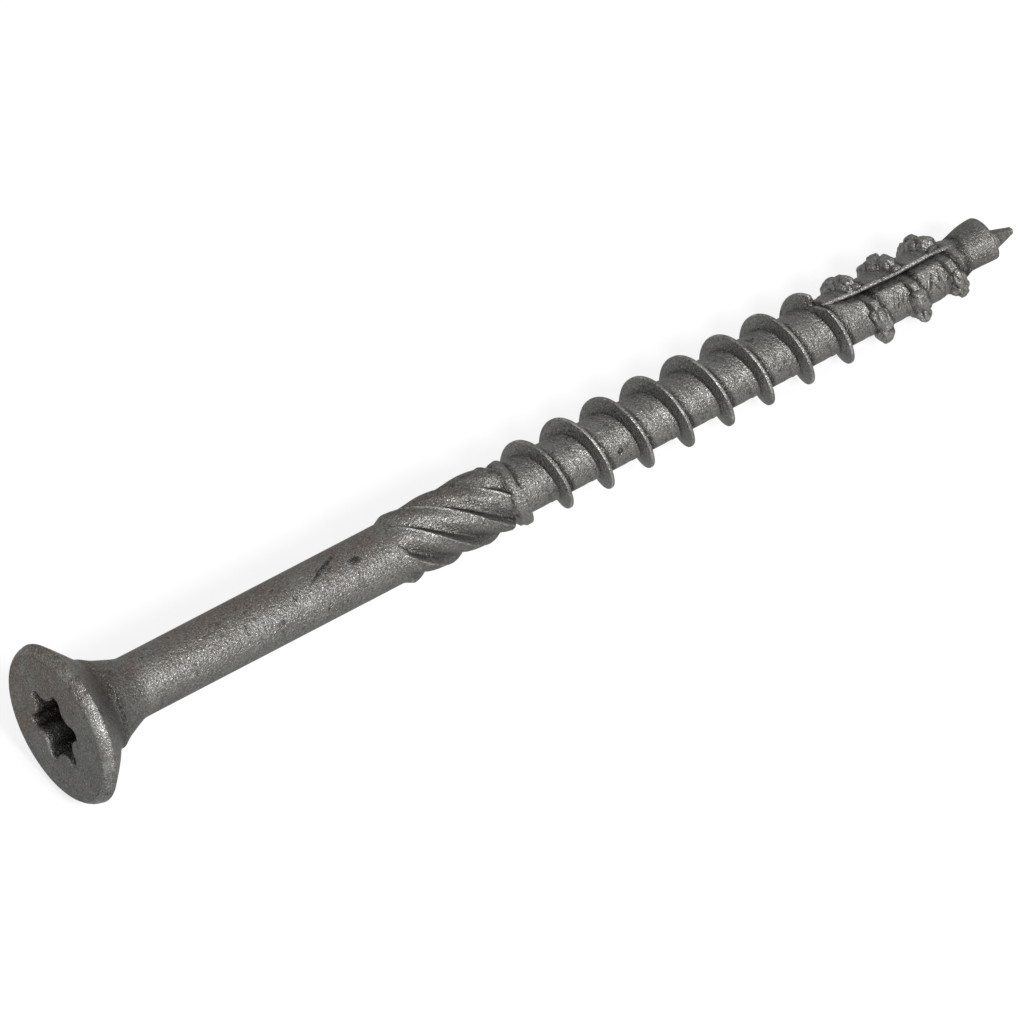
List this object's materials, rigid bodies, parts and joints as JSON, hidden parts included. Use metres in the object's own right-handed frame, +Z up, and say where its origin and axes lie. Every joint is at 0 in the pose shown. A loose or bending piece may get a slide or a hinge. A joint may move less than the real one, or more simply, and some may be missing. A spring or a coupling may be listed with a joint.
{
  "type": "construction screw",
  "caption": "Countersunk construction screw with a six-lobe recess, plain shank, friction ribs, coarse thread with a notched end, and a cutting notch at its point.",
  "frame": {"origin": "centre of the head's flat face, on the screw's axis", "axes": "the screw lies at rest: +X runs from the head to the point along the ground, +Z is up, and the screw's own axis dips 2.4 degrees below +X towards the point, because the rim of the head is wider than the thread"},
  "size_m": [0.0801, 0.0118, 0.0117],
  "materials": {
    "steel": "matt, granular, dark zinc-flake or hot-dip grey coating over carbon steel, with dull highlights and handling marks"
  },
  "bodies": {
    "root": {"screw": "steel"}
  },
  "joints": []
}
